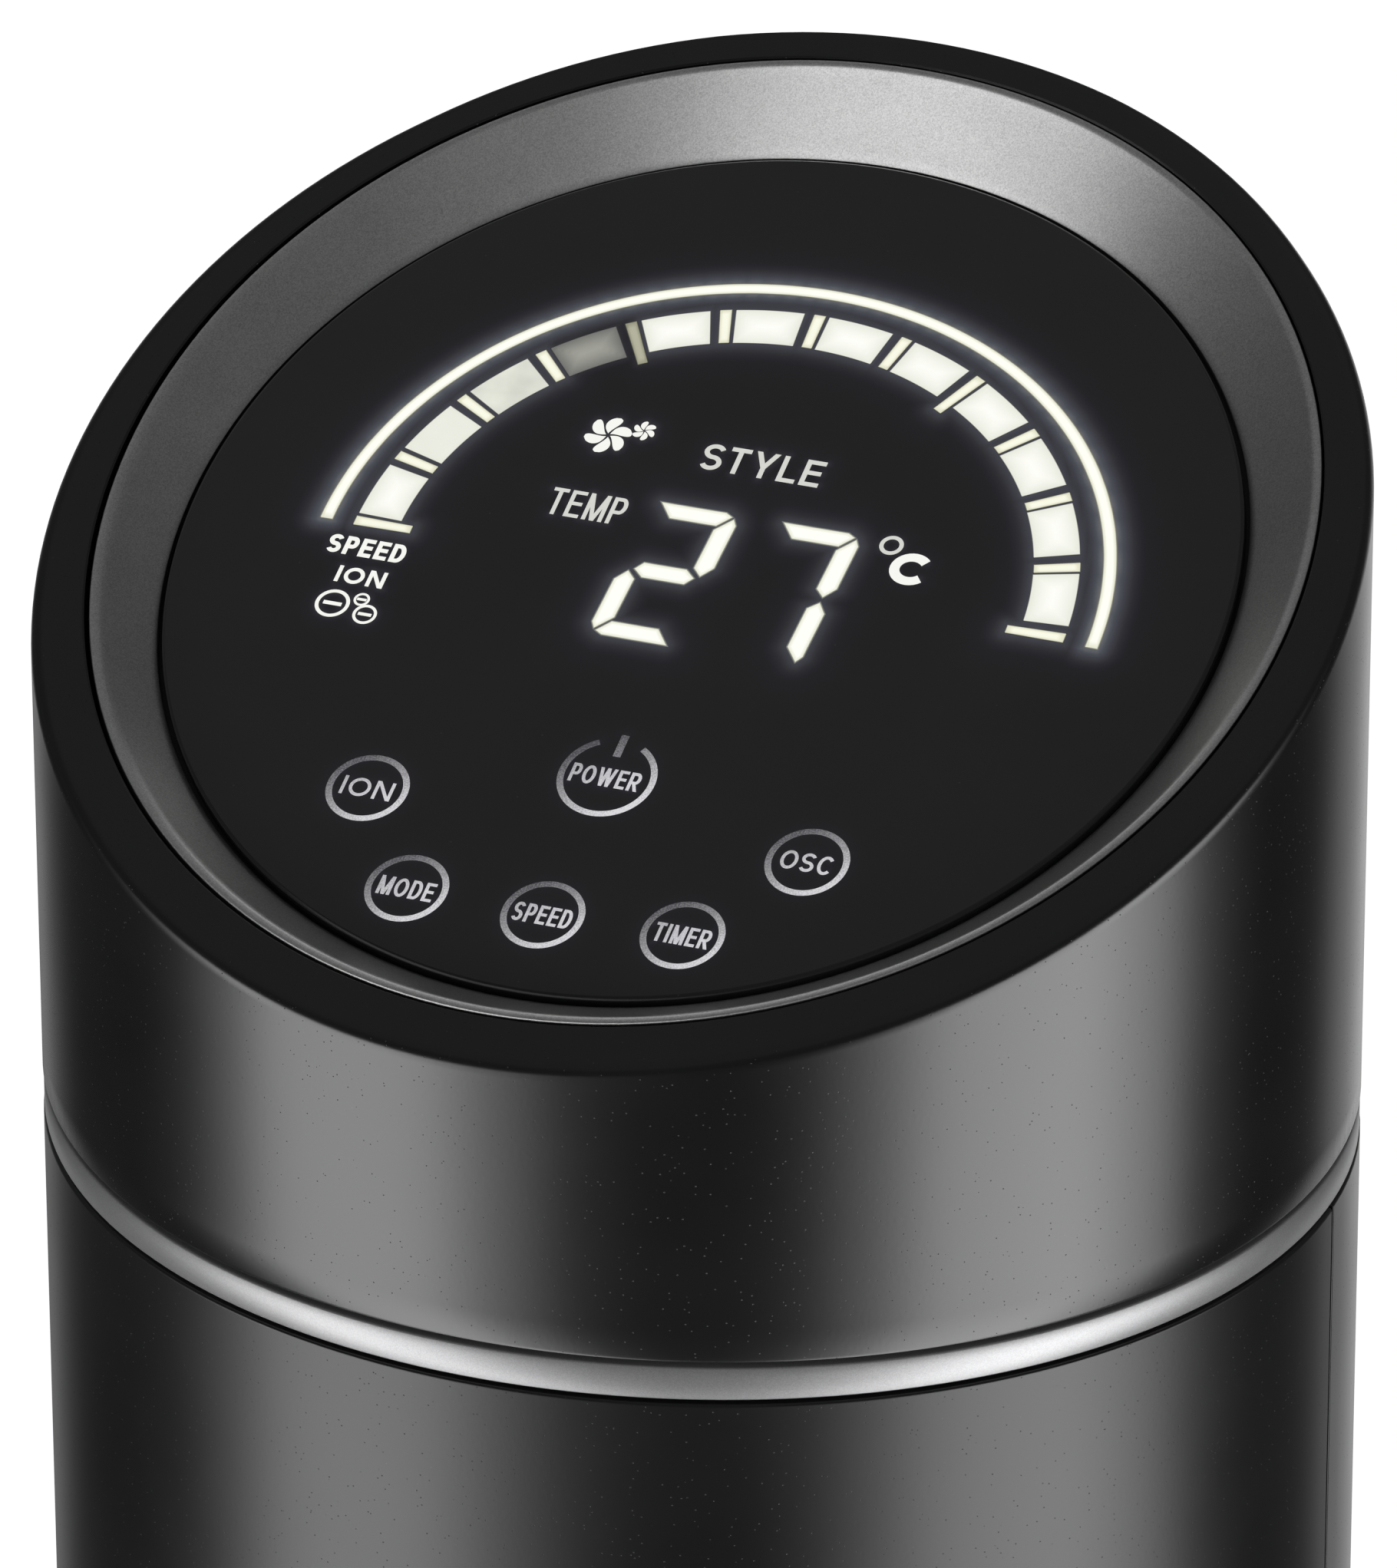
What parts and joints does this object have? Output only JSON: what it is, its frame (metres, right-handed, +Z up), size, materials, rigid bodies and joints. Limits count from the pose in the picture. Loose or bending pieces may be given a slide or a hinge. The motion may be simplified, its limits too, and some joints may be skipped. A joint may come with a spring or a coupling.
{
  "type": "tower fan",
  "caption": "Slim oval tower fan: slanted round touch display, silver band, tall slatted outlet, crossflow rotor, and a column that swings on a round weighted base.",
  "frame": {"origin": "centre of the base, on the floor", "axes": "+Z up along the column and the swing axis; the outlet grille faces -Y; the control top slopes down towards -Y"},
  "size_m": [0.3, 0.3, 0.9608],
  "materials": {
    "satin_black_plastic": "satin, fine moulded texture",
    "gloss_black_panel": "satin gloss",
    "matt_black_plastic": "matt",
    "silver_band": "satin metallic, nearly flush",
    "graphite_metallic": "metallic flake paint",
    "steel": "plain",
    "laminated_steel": "stacked laminations",
    "bronze": "sintered",
    "black_rubber": "matt",
    "white_plastic": "natural",
    "circuit_board": "solder mask",
    "grey_plastic": "plain"
  },
  "bodies": {
    "base": {"base_cover": "satin_black_plastic", "base_plate": "matt_black_plastic", "base_screw_1": "steel", "base_screw_2": "steel", "base_screw_3": "steel", "base_screw_4": "steel", "foot_1": "black_rubber", "foot_2": "black_rubber", "foot_3": "black_rubber", "foot_4": "black_rubber", "ballast_ring": "steel", "turntable_bush": "white_plastic", "cord_gland": "black_rubber", "swing_motor": "steel"},
    "column": {"accent_band": "silver_band", "bearing_boot": "black_rubber", "bearing_sleeve": "bronze", "column_foot": "satin_black_plastic", "display_board": "circuit_board", "duct_scroll": "matt_black_plastic", "duct_tongue": "matt_black_plastic", "front_shell": "satin_black_plastic", "head_cap": "satin_black_plastic", "ion_generator": "grey_plastic", "light_guide": "white_plastic", "motor_lower_bracket": "steel", "motor_mount_plate": "grey_plastic", "motor_stator": "laminated_steel", "motor_upper_bracket": "steel", "outlet_grille": "satin_black_plastic", "panel_carrier": "matt_black_plastic", "power_board": "circuit_board", "rear_screw_1": "steel", "rear_screw_2": "steel", "rear_shell": "satin_black_plastic", "retaining_washer": "steel", "run_capacitor": "grey_plastic", "sector_gear": "white_plastic", "temp_sensor": "white_plastic", "top_bearing_plate": "grey_plastic", "top_deck": "matt_black_plastic", "touch_panel": "gloss_black_panel", "touch_spring_ion": "steel", "touch_spring_mode": "steel", "touch_spring_osc": "steel", "touch_spring_power": "steel", "touch_spring_speed": "steel", "touch_spring_timer": "steel", "trim_ring": "graphite_metallic", "wire_loom": "black_rubber"},
    "rotor": {"motor_rotor": "steel", "drive_hub": "grey_plastic", "impeller_section_1": "matt_black_plastic", "impeller_section_2": "matt_black_plastic", "impeller_section_3": "matt_black_plastic", "impeller_section_4": "matt_black_plastic", "impeller_end_cap": "matt_black_plastic", "impeller_top_pin": "steel"},
    "pinion": {"pinion": "white_plastic", "pinion_shaft": "steel"}
  },
  "joints": [
    {"name": "oscillation", "type": "hinge", "parent": "base", "child": "column", "pos_m": [0, 0, 0.0457], "axis": [0, 0, 1], "range_deg": [-35, 35]},
    {"name": "impeller_spin", "type": "hinge", "parent": "column", "child": "rotor", "pos_m": [0, 0.005, 0.48], "axis": [0, 0, 1], "continuous": true},
    {"name": "pinion_spin", "type": "hinge", "parent": "base", "child": "pinion", "pos_m": [0, 0.045, 0.0145], "axis": [0, 0, 1], "range_deg": [-150, 150]}
  ],
  "couplings": [
    {"joint": "pinion_spin", "follows": "oscillation", "ratio": -4}
  ]
}
